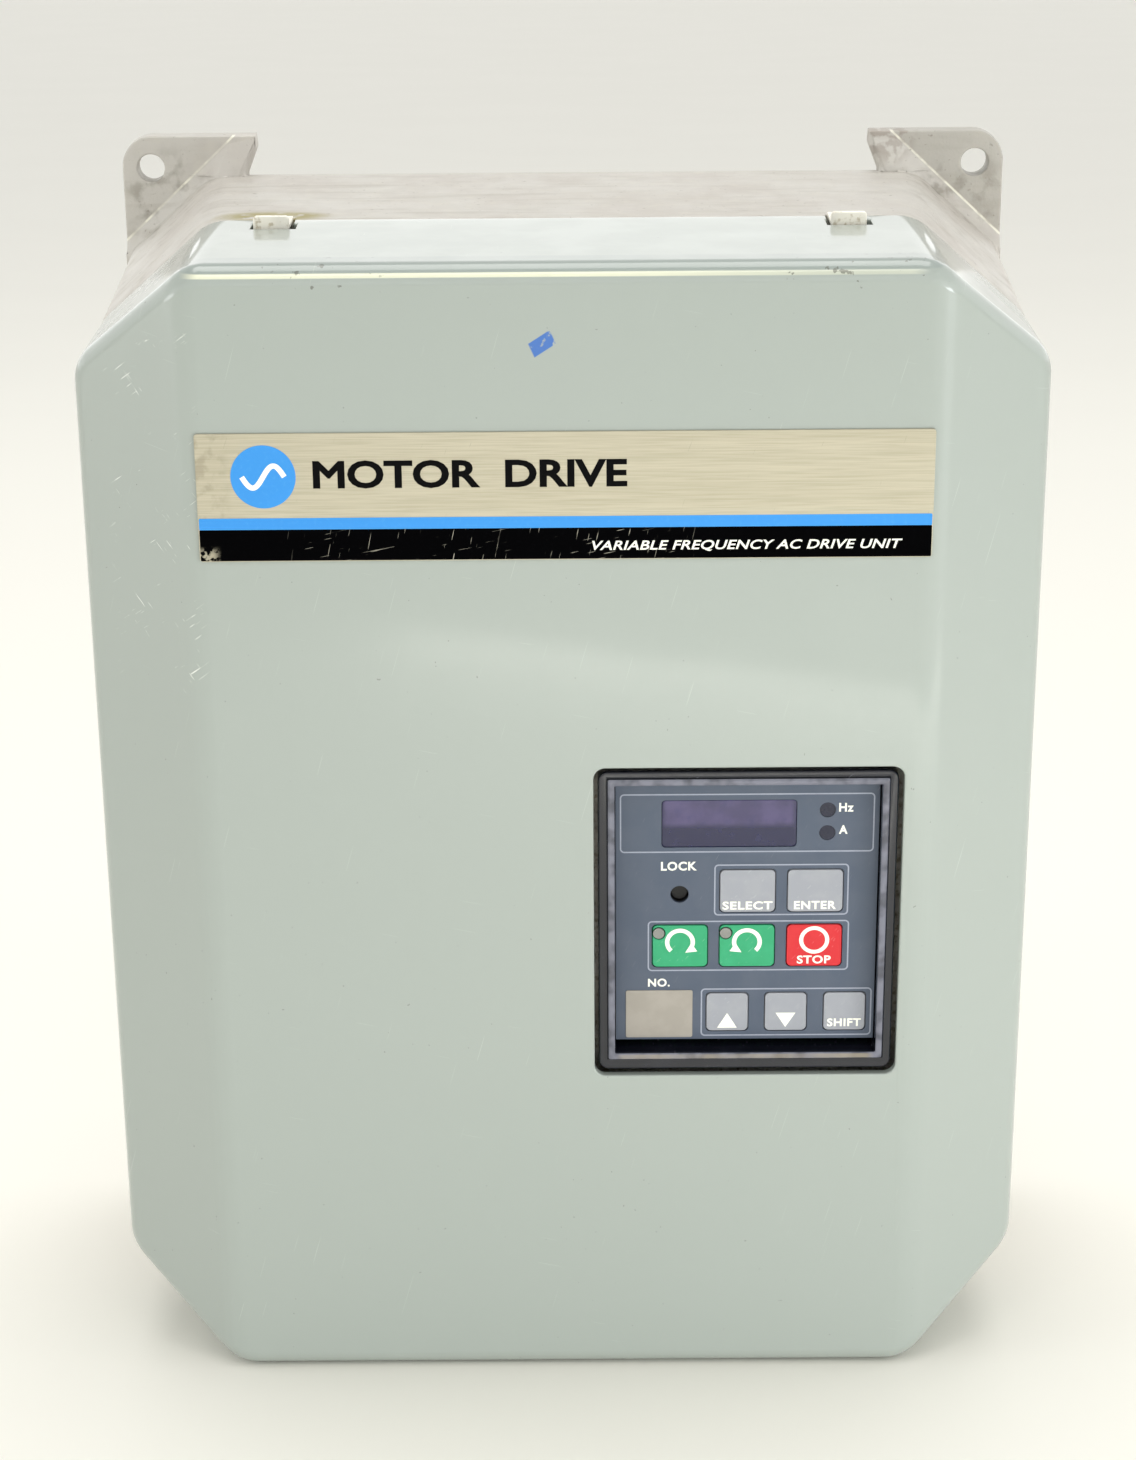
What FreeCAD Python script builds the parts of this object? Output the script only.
import FreeCAD, Part
import os

import Sketcher

# Wall-mounted variable frequency drive, in millimetres.
# X points right, the front faces -Y and Z points up.  The origin is the centre of the four
# wall-screw holes, on the plane of the wall.  Every size is a named cell of the sheet "Dims".

DIMENSIONS = (
    ("half_width", 140.0, "half the width of casting and cover"),
    ("half_height", 175.6, "half the height of casting and cover"),
    ("corner_top_x", 104.0, "where a cut corner leaves the top or bottom edge, at the joint"),
    ("corner_side_z", 143.8, "where a cut corner meets the side, at the joint"),
    ("back_corner_top_x", 112.0, "the same at the back, where the cut corners flare outwards"),
    ("back_corner_side_z", 151.0, "the same at the back, on the side"),
    ("corner_round", 14.0, "rounding between a cut corner and its neighbours"),
    ("tub_back", 6.0, "gap between the wall and the rear edge of the casting"),
    ("joint_depth", 81.0, "front rim of the casting"),
    ("cover_back", 81.3, "rear rim of the cover"),
    ("cover_front", 148.0, "front face of the cover"),
    ("tub_wall", 5.0, "wall of the casting"),
    ("floor_back", 29.0, "rear face of the casting's floor"),
    ("floor_front", 34.0, "front face of the casting's floor"),
    ("cavity_round", 8.0, "inner rounding of the casting"),
    ("cover_wall", 3.0, "wall of the cover"),
    ("gasket_tall", 2.6, "height of the foam strip in the cover's rim"),
    ("bevel_in_x", 106.0, "where the cover's side bevel starts"),
    ("bevel_drop", 22.5, "how far the side bevel falls back at the side wall"),
    ("cover_edge_round", 6.0, "rounding of the cover's front edges"),
    ("crease_round", 16.0, "soft rounding of the bevel's crease"),
    # mounting ears
    ("ear_thick", 7.0, "thickness of a mounting ear"),
    ("ear_top", 188.0, "upper edge of an ear"),
    ("ear_inner_x", 97.4, "inner end of an ear at its top"),
    ("ear_step_z", 184.0, "where the inner end starts to slant"),
    ("ear_foot_x", 100.4, "inner end of an ear where it meets the casting"),
    ("ear_round", 9.5, "outer corner of an ear"),
    ("ear_low_z", 148.0, "lower end of an ear on the side wall"),
    ("ear_root_z", 171.5, "lower edge of the ear's root inside the wall"),
    ("ear_root_x", 111.0, "corner of the ear's root inside the wall"),
    ("ear_root_low_x", 136.0, "lower corner of the ear's root"),
    ("ramp_rise", 3.0, "height of the ramp between ear and casting"),
    ("ramp_top_x", 105.0, "where the ramp's upper line leaves the ear's top edge"),
    ("ramp_side_z", 155.0, "where the ramp's upper line reaches the side"),
    ("hole_x", 131.0, "half the horizontal spacing of the wall screws"),
    ("hole_z", 178.0, "half the vertical spacing of the wall screws"),
    ("hole_r", 4.35, "radius of a wall-screw hole"),
    # fan pocket, at the foot of the casting
    ("duct_half", 36.0, "half the width of the fan duct"),
    ("duct_front", 73.0, "front of the fan duct"),
    ("duct_top", 101.0, "where the duct's sloping roof meets the floor, below the centre"),
    ("duct_knee", 140.0, "where the roof starts to slope"),
    ("duct_wall", 4.0, "wall of the fan duct"),
    ("fan_half", 30.0, "half the side of the fan frame"),
    ("fan_y", 37.5, "fan axis in front of the wall"),
    ("fan_low", 170.4, "underside of the fan frame, below the centre"),
    ("fan_thick", 25.0, "depth of the fan frame"),
    ("fan_bore_r", 27.8, "air opening of the fan frame"),
    ("fan_blade_r", 26.6, "tip radius of the fan blades"),
    ("fan_hub_r", 11.5, "radius of the fan hub"),
    ("fan_hole_pitch", 25.0, "fan screw from the fan axis, both ways"),
    ("fan_hole_r", 2.2, "fan screw hole"),
    ("fan_screw_r", 2.0, "fan screw"),
    ("fan_shaft_r", 1.5, "fan shaft"),
    ("fan_bush_r", 1.56, "bush that the fan shaft runs in"),
    ("inlet_r", 27.0, "air inlet in the casting's bottom wall"),
    ("fan_spoke_wide", 4.0, "width of a spoke that holds the fan motor"),
    ("fan_spoke_tall", 3.0, "height of a spoke that holds the fan motor"),
    ("fan_bush_long", 14.0, "length of the bush that the fan shaft runs in"),
    ("blade_low", 2.2, "underside of the rotor above the underside of the frame"),
    ("blade_thick", 1.2, "thickness of a fan blade"),
    ("blade_chord", 19.0, "width of a fan blade, along its pitch"),
    ("hub_tall", 18.2, "height of the rotor's hub"),
    ("hub_wall", 1.6, "wall of the rotor's hub"),
    ("guard_wire_r", 0.8, "wire of the finger guard's rings"),
    ("guard_rib_r", 0.7, "wire of the finger guard's ribs"),
    ("guard_ring_step", 6.0, "spacing of the finger guard's rings"),
    ("guard_eye_r", 4.0, "eye of the finger guard around a fan screw"),
    # conduit entries
    ("conduit_x", 80.0, "conduit entry from the centre"),
    ("conduit_y", 57.5, "conduit entry in front of the wall"),
    ("conduit_r", 14.2, "conduit entry for three-quarter-inch conduit"),
    ("plug_flange_r", 17.5, "flange of the blanking plug"),
    # heat sink
    ("sink_half", 124.0, "half the width of the heat sink"),
    ("sink_top", 128.0, "top of the heat sink"),
    ("sink_low", 96.0, "bottom of the heat sink, below the centre"),
    ("sink_plate", 5.0, "base plate of the heat sink"),
    ("fin_back", 8.0, "rear tips of the fins"),
    ("fin_pitch", 9.92, "spacing of the fins"),
    ("fin_thick", 2.4, "thickness of a fin"),
    # hooks
    ("hook_left_x", -84.7, "middle of the left hook"),
    ("hook_right_x", 83.5, "middle of the right hook"),
    ("hook_width", 10.5, "width of a hook"),
    ("hook_thick", 1.6, "thickness of a hook"),
    ("hook_proud", 0.9, "hook above the cover's top wall"),
    ("hook_front", 94.4, "front end of a hook"),
    ("hook_tip", 3.6, "upturned tip of a hook above the cover's top wall"),
    ("hook_tip_round", 1.2, "upper corners of a hook's tip"),
    ("hook_rise_y", 79.5, "where a hook comes up through the casting's rim"),
    ("hook_tail", 38.0, "rear end of a hook, inside"),
    ("hook_bend_round", 0.9, "outside of a hook's bend over the rim"),
    ("hook_hold", 57.0, "screw of a hook, in front of the wall"),
    ("hook_hole_r", 1.75, "screw hole of a hook"),
    ("hook_thread_r", 1.6, "threaded hole for a hook's screw"),
    ("hook_screw_r", 1.55, "radius of a hook's screw"),
    ("hook_screw_long", 4.2, "length of a hook's screw"),
    ("hook_screw_head_r", 3.0, "head radius of a hook's screw"),
    ("hook_screw_head", 2.0, "head height of a hook's screw"),
    ("hook_slack", 0.05, "air between a hook and the casting it lies against"),
    ("rim_slack", 0.4, "clearance of the rim's notches around a hook"),
    ("notch_gap", 0.5, "gap beside a hook where the notch is narrow"),
    ("notch_left_gap", 0.9, "gap beside a hook's tip on its left"),
    ("notch_right_gap", 1.7, "gap beside a hook's tip on its right"),
    ("notch_step", 87.0, "where the cover's notches grow wider"),
    ("notch_front", 95.2, "front edge of the cover's notches"),
    # clamps under the cover
    ("lug_x", 62.0, "clamp lug from the centre"),
    ("lug_half", 9.0, "half the width of a clamp lug"),
    ("lug_front", 96.0, "front end of a clamp lug"),
    ("lug_low", 169.4, "underside of a clamp lug, below the centre"),
    ("lug_thick", 3.0, "thickness of a clamp lug"),
    ("lug_back", 12.0, "how far a lug reaches back from the joint"),
    ("lug_slot", 3.2, "half the width of the lug's open slot"),
    ("clamp_y", 90.0, "clamp screw in front of the wall"),
    ("clamp_r", 2.5, "clamp screw"),
    ("clamp_long", 17.0, "length of a clamp screw"),
    ("clamp_head_r", 4.6, "head radius of a clamp screw"),
    ("clamp_head", 2.8, "head height of a clamp screw"),
    ("clamp_nut_r", 4.5, "radius of a clamp's round nut"),
    ("clamp_nut", 4.0, "height of a clamp's round nut"),
    ("clamp_nut_gap", 0.4, "air between a lug and the nut above it"),
    ("clamp_keeper_r", 4.2, "radius of the washer that keeps a clamp screw in the cover"),
    ("clamp_keeper", 0.8, "height of that washer"),
    ("clamp_hole_r", 2.7, "hole for the clamp screw in the cover"),
    # nameplate
    ("plate_left", -103.5, "left end of the nameplate"),
    ("plate_right", 104.5, "right end of the nameplate"),
    ("plate_low", 91.0, "bottom of the nameplate"),
    ("plate_high", 128.5, "top of the nameplate"),
    ("plate_thick", 0.8, "thickness of the nameplate"),
    # window and operator panel
    ("window_left", 8.0, "left edge of the cover's window"),
    ("window_right", 99.0, "right edge of the cover's window"),
    ("window_low", -73.2, "bottom edge of the cover's window"),
    ("window_high", 26.8, "top edge of the cover's window"),
    ("window_round", 3.5, "corners of the window"),
    ("bezel_left", 9.3, "left edge of the bezel"),
    ("bezel_right", 97.7, "right edge of the bezel"),
    ("bezel_low", -72.0, "bottom edge of the bezel"),
    ("bezel_high", 25.0, "top edge of the bezel"),
    ("bezel_front", 146.0, "front of the bezel's flange"),
    ("bezel_back", 124.0, "back of the bezel's walls"),
    ("bezel_round", 3.0, "corners of the bezel"),
    ("ridge_front", 147.3, "front of the bezel's raised ridge"),
    ("ridge_wide", 2.2, "width of the bezel's raised ridge"),
    ("well_left", 14.2, "left inner wall of the bezel"),
    ("well_right", 92.9, "right inner wall of the bezel"),
    ("well_low", -66.2, "bottom inner wall of the bezel"),
    ("well_high", 20.9, "top inner wall of the bezel"),
    ("face_left", 14.5, "left edge of the panel face"),
    ("face_right", 92.6, "right edge of the panel face"),
    ("face_low", -63.9, "bottom edge of the panel face"),
    ("face_high", 20.6, "top edge of the panel face"),
    ("face_front", 142.0, "front of the panel face"),
    ("face_thick", 1.0, "thickness of the panel face"),
    ("frame_back", 138.0, "back of the frame that guides the keys"),
    ("board_front", 131.5, "component side of the keypad board"),
    ("board_thick", 1.6, "thickness of a circuit board"),
    ("display_x", 48.2, "middle of the display"),
    ("display_z", 6.8, "middle of the display"),
    ("display_wide", 40.0, "width of the display window"),
    ("display_tall", 15.0, "height of the display window"),
    ("digit_inset", 1.2, "digit block inside the window, each side"),
    ("led_x", 77.3, "middle of the two unit lamps"),
    ("led_high_z", 11.0, "upper unit lamp"),
    ("led_low_z", 3.7, "lower unit lamp"),
    ("led_r", 2.3, "unit lamp"),
    ("run_led_r", 1.7, "run lamp on a direction key"),
    ("run_led_dx", -6.4, "run lamp from the middle of its key"),
    ("run_led_dz", 4.2, "run lamp above the middle of its key"),
    ("lock_x", 33.6, "lock opening"),
    ("lock_z", -15.9, "lock opening"),
    ("lock_r", 2.75, "radius of the lock opening"),
    ("lock_plunger_r", 2.3, "lock plunger"),
    ("label_x", 27.6, "middle of the number label"),
    ("label_z", -55.3, "middle of the number label"),
    ("label_wide", 20.2, "width of the number label"),
    ("label_tall", 15.7, "height of the number label"),
    ("label_thick", 0.25, "thickness of the number label"),
    ("column_left", 33.8, "left column of large keys"),
    ("column_middle", 53.9, "middle column of large keys"),
    ("column_right", 74.1, "right column of large keys"),
    ("row_select", -14.9, "row of the select and enter keys"),
    ("row_run", -32.8, "row of the direction and stop keys"),
    ("row_arrow", -54.8, "row of the arrow and shift keys"),
    ("arrow_up_x", 48.2, "up key"),
    ("arrow_down_x", 65.9, "down key"),
    ("arrow_shift_x", 83.7, "shift key"),
    ("key_wide", 16.4, "width of a large key"),
    ("key_tall", 13.6, "height of a large key"),
    ("key_small", 12.5, "side of a small key"),
    ("key_round", 1.5, "corners of a key"),
    ("key_edge", 0.25, "rounding of a key's front edge"),
    ("key_proud", 0.3, "key above the panel face"),
    ("key_gap", 0.3, "gap around a key"),
    ("key_brim", 0.8, "brim that keeps a key in"),
    ("key_stem_r", 2.0, "stem behind a key"),
    ("key_reach", 136.1, "rear end of a key's stem"),
    ("switch_half", 3.0, "half the side of a key switch"),
    ("switch_top", 135.0, "top of a key switch"),
    ("switch_button", 135.5, "top of a key switch's button"),
    ("switch_button_r", 1.7, "button of a key switch"),
    # panel bracket and control board
    ("pillar_left", 2.0, "left pillars"),
    ("pillar_right", 105.0, "right pillars"),
    ("pillar_low", -82.0, "lower pillars"),
    ("pillar_high", 36.0, "upper pillars"),
    ("pillar_r", 4.0, "radius of a pillar"),
    ("bracket_front", 122.0, "front of the panel bracket"),
    ("bracket_thick", 1.5, "thickness of the panel bracket"),
    ("control_front", 112.0, "front of the control board"),
    ("chip_tall", 3.4, "height of a chip"),
    # power section
    ("power_left", -96.0, "left edge of the power board"),
    ("power_right", 96.0, "right edge of the power board"),
    ("power_low", 46.0, "bottom edge of the power board"),
    ("power_high", 158.0, "top edge of the power board"),
    ("power_front", 61.6, "front of the power board"),
    ("module_front", 58.0, "front of the power modules"),
    ("can_r", 17.5, "radius of a bus capacitor"),
    ("can_front", 112.0, "front of the bus capacitors"),
    ("can_left", -98.0, "left column of capacitors"),
    ("can_right", -54.0, "right column of capacitors"),
    ("can_high", 12.0, "upper row of capacitors"),
    ("can_low", -34.0, "lower row of capacitors"),
    ("can_stud", 10.0, "distance between a capacitor's two terminals"),
    ("can_plate", 80.0, "rear face of the capacitor plate"),
    ("can_lift", 0.5, "gap between a capacitor and the casting's floor"),
    ("can_stud_r", 2.6, "terminal of a capacitor"),
    ("can_margin", 24.0, "capacitor plate beyond the middle of the outer capacitors"),
    ("can_margin_high", 22.0, "the same at the top"),
    ("bar_lift", 3.0, "bus bars above the capacitors"),
    ("bar_thick", 1.2, "thickness of a bus bar"),
    ("bar_half", 3.4, "half the width of a bus bar"),
    ("bar_bridge", 10.0, "a bus bar's bridge beyond the row of terminals that it joins"),
    ("module_base", 42.0, "front of the power modules' base plates"),
    ("module_lip", 12.0, "base plate beyond a module's hood, at each end"),
    ("module_z", 96.0, "middle of the power modules"),
    ("inverter_x", -30.0, "middle of the inverter module"),
    ("inverter_wide", 104.0, "width of the inverter module"),
    ("inverter_tall", 46.0, "height of the inverter module"),
    ("rectifier_x", 56.0, "middle of the rectifier module"),
    ("rectifier_wide", 42.0, "width of the rectifier module"),
    ("rectifier_tall", 34.0, "height of the rectifier module"),
    ("standoff_r", 3.0, "radius of standoffs, posts and spacers"),
    ("standoff_inset", 6.0, "standoff from the power board's edges"),
    ("core_x", -58.0, "middle of the supply transformer"),
    ("core_z", 132.0, "middle of the supply transformer"),
    ("core_half", 17.0, "half the side of the transformer's core"),
    ("core_tall", 30.0, "height of the transformer's core"),
    ("relay_x", 10.0, "first relay"),
    ("relay_z", 136.0, "middle of the relays"),
    ("relay_half", 8.0, "half the width of a relay"),
    ("relay_tall", 16.0, "height of a relay"),
    ("film_x", -62.0, "first snubber capacitor"),
    ("film_z", 78.0, "middle of the snubber capacitors"),
    ("film_half", 6.0, "half the width of a snubber capacitor"),
    ("film_tall", 20.0, "height of a snubber capacitor"),
    ("board_pitch", 22.0, "spacing of the relays, and of the snubber capacitors"),
    # terminals and earth
    ("terminal_z", -118.0, "middle of both terminal strips"),
    ("terminal_wall", 0.8, "half the wall between two ways of a strip"),
    ("terminal_bay", 7.0, "depth of a way of a strip"),
    ("terminal_lip", 2.5, "wall above and below the ways of a strip"),
    ("earth_x", 122.0, "earth stud"),
    ("earth_z", -97.0, "earth stud"),
    ("earth_r", 2.5, "radius of the earth stud"),
)

doc = FreeCAD.newDocument("variable_frequency_drive")
sheet = doc.addObject("Spreadsheet::Sheet", "Dims")
for row, (alias, number, meaning) in enumerate(DIMENSIONS, start=1):
    sheet.set(f"A{row}", meaning)
    sheet.set(f"B{row}", str(number))
    sheet.setAlias(f"B{row}", alias)
doc.recompute()

PLANE_ROLE = {"front": "XZ_Plane", "side": "YZ_Plane", "top": "XY_Plane"}
TURN = {
    "+Z": FreeCAD.Rotation(),
    "-Z": FreeCAD.Rotation(FreeCAD.Vector(1, 0, 0), 180),
    "-Y": FreeCAD.Rotation(FreeCAD.Vector(1, 0, 0), 90),
    "+Y": FreeCAD.Rotation(FreeCAD.Vector(1, 0, 0), -90),
}
sub_parts = []


# ---------------------------------------------------------------- helpers

def size(expression):
    """The number that an expression over the sheet gives."""
    return float(sheet.evalExpression(expression))


def keep(piece, label):
    """Name a finished sub-part."""
    piece.Label = label
    sub_parts.append(piece)
    return piece


def block(name, x, y, z):
    """A box between two expressions along each axis."""
    box = doc.addObject("Part::Box", name)
    for side, letter, (low, high) in (("Length", "x", x), ("Width", "y", y), ("Height", "z", z)):
        box.setExpression(side, f"({high}) - ({low})")
        box.setExpression(f"Placement.Base.{letter}", low)
    return box


def around(middle, half):
    """The pair of expressions half a width each side of a middle."""
    return (f"({middle}) - ({half})", f"({middle}) + ({half})")


def depth(front, back):
    """The pair of Y expressions between two distances in front of the wall."""
    return (f"-({front})", f"-({back})")


def rod(name, axis, radius, length, at):
    """A cylinder from a point along a named axis."""
    cylinder = doc.addObject("Part::Cylinder", name)
    cylinder.Placement = FreeCAD.Placement(FreeCAD.Vector(), TURN[axis])
    cylinder.setExpression("Radius", radius)
    cylinder.setExpression("Height", length)
    for letter, expression in zip("xyz", at):
        cylinder.setExpression(f"Placement.Base.{letter}", expression)
    return cylinder


def cone(name, axis, radius, tip_radius, length, at):
    """A truncated cone from a point along a named axis."""
    taper = doc.addObject("Part::Cone", name)
    taper.Placement = FreeCAD.Placement(FreeCAD.Vector(), TURN[axis])
    taper.setExpression("Radius1", radius)
    taper.setExpression("Radius2", tip_radius)
    taper.setExpression("Height", length)
    for letter, expression in zip("xyz", at):
        taper.setExpression(f"Placement.Base.{letter}", expression)
    return taper


def fuse(name, pieces):
    joined = doc.addObject("Part::MultiFuse", name)
    joined.Shapes = pieces
    return joined


def group(name, pieces):
    """Identical loose pieces kept as separate solids of one sub-part."""
    bundle = doc.addObject("Part::Compound", name)
    bundle.Links = pieces
    return bundle


def cut(name, base, tools):
    result = doc.addObject("Part::Cut", name)
    result.Base = base
    result.Tool = tools[0] if len(tools) == 1 else group(f"{name}_tools", tools)
    return result


def origin_plane(body, plane):
    role = PLANE_ROLE[plane]
    return next(item for item in body.Origin.OriginFeatures if item.Role == role)


def outline(body, plane, offset, corners):
    """A closed sketch whose corners are pairs of expressions."""
    sketch = body.newObject("Sketcher::SketchObject", f"{body.Name}_outline")
    sketch.AttachmentSupport = [(origin_plane(body, plane), "")]
    sketch.MapMode = "FlatFace"
    sketch.setExpression("AttachmentOffset.Base.z", offset)
    points = [FreeCAD.Vector(size(u), size(v), 0) for u, v in corners]
    following = points[1:] + points[:1]
    for start, end in zip(points, following):
        sketch.addGeometry(Part.LineSegment(start, end), False)
    for index in range(len(points)):
        after = (index + 1) % len(points)
        sketch.addConstraint(Sketcher.Constraint("Coincident", index, 2, after, 1))
    for index, pair in enumerate(corners):
        for kind, axis, expression in zip(("DistanceX", "DistanceY"), (-2, -1), pair):
            number = size(expression)
            if abs(number) < 1e-9:
                sketch.addConstraint(Sketcher.Constraint("PointOnObject", index, 1, axis))
            else:
                place = sketch.addConstraint(Sketcher.Constraint(kind, -1, 1, index, 1, number))
                sketch.setExpression(f"Constraints[{place}]", expression)
    return sketch


def pad(body, plane, start, length, corners):
    """Add material from an outline, along the plane's normal (-Y for the front plane)."""
    feature = body.newObject("PartDesign::Pad", f"{body.Name}_pad")
    feature.Profile = outline(body, plane, start, corners)
    feature.setExpression("Length", length)
    body.Tip = feature
    doc.recompute()
    return feature


def pocket(body, plane, start, length, corners, along_normal=False):
    """Take material away from an outline, against the plane's normal unless told."""
    before = body.Shape.Volume
    feature = body.newObject("PartDesign::Pocket", f"{body.Name}_pocket")
    feature.Profile = outline(body, plane, start, corners)
    feature.setExpression("Length", length)
    feature.Reversed = along_normal
    body.Tip = feature
    doc.recompute()
    if body.Shape.Volume > before - 1.0:
        raise RuntimeError(f"{feature.Name} cut nothing")
    return feature


def fillet(body, radius, wanted):
    """Round the edges of a body that a test picks."""
    base = body.Tip
    names = [f"Edge{i}" for i, edge in enumerate(base.Shape.Edges, start=1) if wanted(edge)]
    feature = body.newObject("PartDesign::Fillet", f"{body.Name}_fillet")
    feature.Base = (base, names)
    feature.setExpression("Radius", radius)
    body.Tip = feature
    doc.recompute()
    return feature


def new_body(name):
    return doc.addObject("PartDesign::Body", name)


def runs_along(edge, letter):
    """True for an edge whose two ends differ mainly along one axis."""
    if len(edge.Vertexes) < 2:
        return False
    span = edge.Vertexes[-1].Point - edge.Vertexes[0].Point
    others = [abs(getattr(span, other)) for other in "xyz" if other != letter]
    return abs(getattr(span, letter)) > 3 * max(others)


def rectangle(u, v):
    (left, right), (low, high) = u, v
    return ((left, low), (right, low), (right, high), (left, high))


def rounded_plate(name, x, z, front, thick, radius):
    """A plate with rounded corners whose front face is a distance in front of the wall."""
    body = new_body(name)
    pad(body, "front", f"({front}) - ({thick})", thick, rectangle(x, z))
    fillet(body, radius, lambda edge: runs_along(edge, "y"))
    return body


RUN = "(Dims.half_width - Dims.corner_top_x)"
DROP = "(Dims.half_height - Dims.corner_side_z)"
SLANT = f"sqrt({RUN}^2 + {DROP}^2)"
SLOT_SHARE = 0.14       # half the width of a screw's slot, as a share of its head's radius
SLOT_FLOOR = 0.45       # floor of the slot, as a share of the head's height


def octagon(inset="0", top_x="Dims.corner_top_x", side_z="Dims.corner_side_z"):
    """The rectangle with cut corners, moved inwards by an inset."""
    wide = f"(Dims.half_width - ({inset}))"
    tall = f"(Dims.half_height - ({inset}))"
    near_x = f"({top_x} - ({inset}) * ({SLANT} - {RUN}) / {DROP})"
    near_z = f"({side_z} - ({inset}) * ({SLANT} - {DROP}) / {RUN})"
    return (
        (wide, f"-{near_z}"), (wide, near_z), (near_x, tall), (f"-{near_x}", tall),
        (f"-{wide}", near_z), (f"-{wide}", f"-{near_z}"), (f"-{near_x}", f"-{tall}"),
        (near_x, f"-{tall}"),
    )


def screw(name, radius, length, head_radius, head, at):
    """A slotted pan-head screw driven upwards: the point is under its head."""
    shank = rod(f"{name}_shank", "+Z", radius, length, at)
    top = rod(f"{name}_head", "-Z", head_radius, head, at)
    slot = block(f"{name}_slot", around(at[0], f"({head_radius}) * {SLOT_SHARE}"),
                 around(at[1], head_radius),
                 (f"({at[2]}) - ({head})", f"({at[2]}) - ({head}) * {SLOT_FLOOR}"))
    return cut(name, fuse(f"{name}_solid", [shank, top]), [slot])


def screw_head(name, head_radius, head, at):
    """The slotted head of a screw that faces the front; its shank is inside its thread."""
    top = rod(f"{name}_head", "-Y", head_radius, head, at)
    slot = block(f"{name}_slot", around(at[0], f"({head_radius}) * {SLOT_SHARE}"),
                 (f"({at[1]}) - ({head}) - 1", f"({at[1]}) - ({head}) * {SLOT_FLOOR}"),
                 around(at[2], f"({head_radius}) + 1"))
    return cut(name, top, [slot])


# ---------------------------------------------------------------- casting

def ear(name):
    """Upper right ear: a plate at the wall and a ramp that blends it into the casting."""
    plate = new_body(f"{name}_plate")
    pad(plate, "front", "0", "Dims.ear_thick", (
        ("Dims.ear_foot_x", "Dims.ear_root_z"), ("Dims.ear_root_x", "Dims.ear_root_z"),
        ("Dims.ear_root_low_x", "Dims.ear_low_z"), ("Dims.half_width", "Dims.ear_low_z"),
        ("Dims.half_width", "Dims.ear_top"), ("Dims.ear_inner_x", "Dims.ear_top"),
        ("Dims.ear_inner_x - 0.3", "Dims.ear_step_z"), ("Dims.ear_foot_x", "Dims.half_height"),
    ))
    corner = FreeCAD.Vector(size("Dims.half_width"), 0, size("Dims.ear_top"))
    fillet(plate, "Dims.ear_round", lambda edge: runs_along(edge, "y") and all(
        abs(v.Point.x - corner.x) + abs(v.Point.z - corner.z) < 0.01 for v in edge.Vertexes))
    ramp = new_body(f"{name}_ramp")
    low = outline(ramp, "front", "Dims.ear_thick - 0.5", (
        ("Dims.ear_foot_x", "Dims.ear_root_z"), ("Dims.ear_root_x", "Dims.ear_root_z"),
        ("Dims.ear_root_low_x", "Dims.ear_low_z"), ("Dims.half_width", "Dims.ear_low_z"),
        ("Dims.half_width", "Dims.ramp_side_z"), ("Dims.ramp_top_x", "Dims.ear_top - 0.6"),
        ("Dims.ear_inner_x + 0.2", "Dims.ear_top - 0.6"),
        ("Dims.ear_foot_x", "Dims.half_height"),
    ))
    high = outline(ramp, "front", "Dims.ear_thick + Dims.ramp_rise", (
        ("Dims.ear_foot_x", "Dims.ear_root_z"), ("Dims.ear_root_x", "Dims.ear_root_z"),
        ("Dims.ear_root_low_x", "Dims.ear_low_z"), ("Dims.half_width", "Dims.ear_low_z"),
        ("Dims.half_width", "Dims.ramp_side_z - 4"),
        ("Dims.back_corner_top_x - 2.5", "Dims.half_height + 0.1"),
        ("Dims.ear_foot_x + 2", "Dims.half_height + 0.1"),
        ("Dims.ear_foot_x", "Dims.half_height"),
    ))
    loft = ramp.newObject("PartDesign::AdditiveLoft", f"{name}_loft")
    loft.Profile = low
    loft.Sections = [high]
    loft.Ruled = True
    ramp.Tip = loft
    doc.recompute()
    hole = rod(f"{name}_hole", "-Y", "Dims.hole_r", "Dims.ear_thick + 10",
               ("Dims.hole_x", "1", "Dims.hole_z"))
    return cut(name, fuse(f"{name}_blank", [plate, ramp]), [hole])


def fan_corners():
    """The four screw places of the fan, as pairs of expressions."""
    return [
        (f"{dx} * Dims.fan_hole_pitch", f"-Dims.fan_y + {dy} * Dims.fan_hole_pitch")
        for dx, dy in ((1, 1), (1, -1), (-1, 1), (-1, -1))
    ]


def mirrored(source, name, normal):
    copy = doc.addObject("Part::Mirroring", name)
    copy.Source = source
    copy.Base = FreeCAD.Vector()
    copy.Normal = normal
    return copy


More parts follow.
